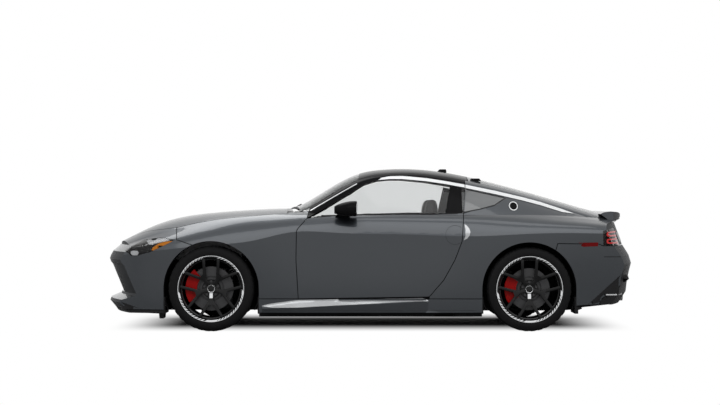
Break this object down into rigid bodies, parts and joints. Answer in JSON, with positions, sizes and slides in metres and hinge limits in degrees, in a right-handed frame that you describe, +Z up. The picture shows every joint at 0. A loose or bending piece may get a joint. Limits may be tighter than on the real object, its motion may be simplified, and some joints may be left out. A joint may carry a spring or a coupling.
{
  "type": "two-seat fastback coupe car",
  "caption": "Dark grey two-seat fastback coupe car with opening doors, bonnet and hatch, steered front wheels and free-turning road wheels.",
  "frame": {"origin": "on the ground, under the middle of the car's bounding box", "axes": "+X forward towards the nose, +Y to the car's left, +Z up"},
  "size_m": [4.38, 2.1, 1.3167],
  "materials": {
    "body_paint": "metallic dark grey, clear coated",
    "black_paint": "gloss black",
    "blade": "satin silver",
    "glass": "clear automotive glass",
    "lamp_glass": "clear lamp cover",
    "red_lamp": "red lamp lens",
    "dark_plastic": "grained black plastic",
    "frame_black": "black primer",
    "tyre_rubber": "road tyre rubber",
    "wheel_black": "gloss black with a machined lip",
    "disc_steel": "machined iron",
    "calliper_red": "gloss red",
    "axle_steel": "dark cast and painted steel",
    "engine_metal": "cast alloy",
    "cabin_trim": "black leather and grained trim",
    "exhaust_steel": "polished stainless steel"
  },
  "bodies": {
    "chassis": {"front_fenders": "body_paint", "front_bumper": "body_paint", "quarter_panels": "body_paint", "rear_bumper": "body_paint", "sills": "body_paint", "roof": "black_paint", "roof_rails": "black_paint", "roof_blades": "blade", "windscreen": "glass", "quarter_glass": "glass", "headlamps": "lamp_glass", "tail_lamps": "red_lamp", "grille": "dark_plastic", "splitter": "dark_plastic", "diffuser": "dark_plastic", "undertray": "dark_plastic", "unibody": "frame_black", "firewall": "frame_black", "cargo_floor": "frame_black", "wheelhouses": "frame_black", "callipers_rear": "calliper_red", "front_subframe": "axle_steel", "rear_subframe": "axle_steel", "engine": "engine_metal", "exhaust": "exhaust_steel", "seats": "cabin_trim", "dashboard": "cabin_trim", "console": "cabin_trim"},
    "door_left": {"door_left": "body_paint", "door_glass_left": "glass", "mirror_left": "black_paint"},
    "door_right": {"door_right": "body_paint", "door_glass_right": "glass", "mirror_right": "black_paint"},
    "bonnet": {"bonnet": "body_paint"},
    "hatch": {"hatch": "body_paint", "hatch_glass": "glass"},
    "steering": {"steering_wheel": "cabin_trim"},
    "knuckle_left": {"knuckle_left": "axle_steel", "calliper_front_left": "calliper_red"},
    "knuckle_right": {"knuckle_right": "axle_steel", "calliper_front_right": "calliper_red"},
    "wheel_front_left": {"tyre_front_left": "tyre_rubber", "rim_front_left": "wheel_black", "disc_front_left": "disc_steel"},
    "wheel_front_right": {"tyre_front_right": "tyre_rubber", "rim_front_right": "wheel_black", "disc_front_right": "disc_steel"},
    "wheel_rear_left": {"tyre_rear_left": "tyre_rubber", "rim_rear_left": "wheel_black", "disc_rear_left": "disc_steel"},
    "wheel_rear_right": {"tyre_rear_right": "tyre_rubber", "rim_rear_right": "wheel_black", "disc_rear_right": "disc_steel"}
  },
  "joints": [
    {"name": "door_left_hinge", "type": "hinge", "parent": "chassis", "child": "door_left", "pos_m": [0.555, 0.886, 0.6], "axis": [0, 0, -1], "range_deg": [0, 65]},
    {"name": "door_right_hinge", "type": "hinge", "parent": "chassis", "child": "door_right", "pos_m": [0.555, -0.886, 0.6], "axis": [0, 0, 1], "range_deg": [0, 65]},
    {"name": "bonnet_hinge", "type": "hinge", "parent": "chassis", "child": "bonnet", "pos_m": [0.708, 0, 0.968], "axis": [0, -1, 0], "range_deg": [0, 50]},
    {"name": "hatch_hinge", "type": "hinge", "parent": "chassis", "child": "hatch", "pos_m": [-0.83, 0, 1.262], "axis": [0, 1, 0], "range_deg": [0, 62]},
    {"name": "steer_left", "type": "hinge", "parent": "chassis", "child": "knuckle_left", "pos_m": [1.278, 0.756, 0.343], "axis": [0, 0, 1], "range_deg": [-33, 33]},
    {"name": "steer_right", "type": "hinge", "parent": "chassis", "child": "knuckle_right", "pos_m": [1.278, -0.756, 0.343], "axis": [0, 0, 1], "range_deg": [-33, 33]},
    {"name": "steering_column", "type": "hinge", "parent": "chassis", "child": "steering", "pos_m": [0.185, 0.37, 0.83], "axis": [-0.9063, 0, 0.4226], "range_deg": [-462, 462]},
    {"name": "wheel_front_left_spin", "type": "hinge", "parent": "knuckle_left", "child": "wheel_front_left", "pos_m": [1.278, 0.776, 0.343], "axis": [0, 1, 0], "continuous": true},
    {"name": "wheel_front_right_spin", "type": "hinge", "parent": "knuckle_right", "child": "wheel_front_right", "pos_m": [1.278, -0.776, 0.343], "axis": [0, 1, 0], "continuous": true},
    {"name": "wheel_rear_left_spin", "type": "hinge", "parent": "chassis", "child": "wheel_rear_left", "pos_m": [-1.272, 0.776, 0.338], "axis": [0, 1, 0], "continuous": true},
    {"name": "wheel_rear_right_spin", "type": "hinge", "parent": "chassis", "child": "wheel_rear_right", "pos_m": [-1.272, -0.776, 0.338], "axis": [0, 1, 0], "continuous": true}
  ],
  "couplings": [
    {"joint": "steer_right", "follows": "steer_left", "ratio": 1},
    {"joint": "steering_column", "follows": "steer_left", "ratio": 14}
  ]
}
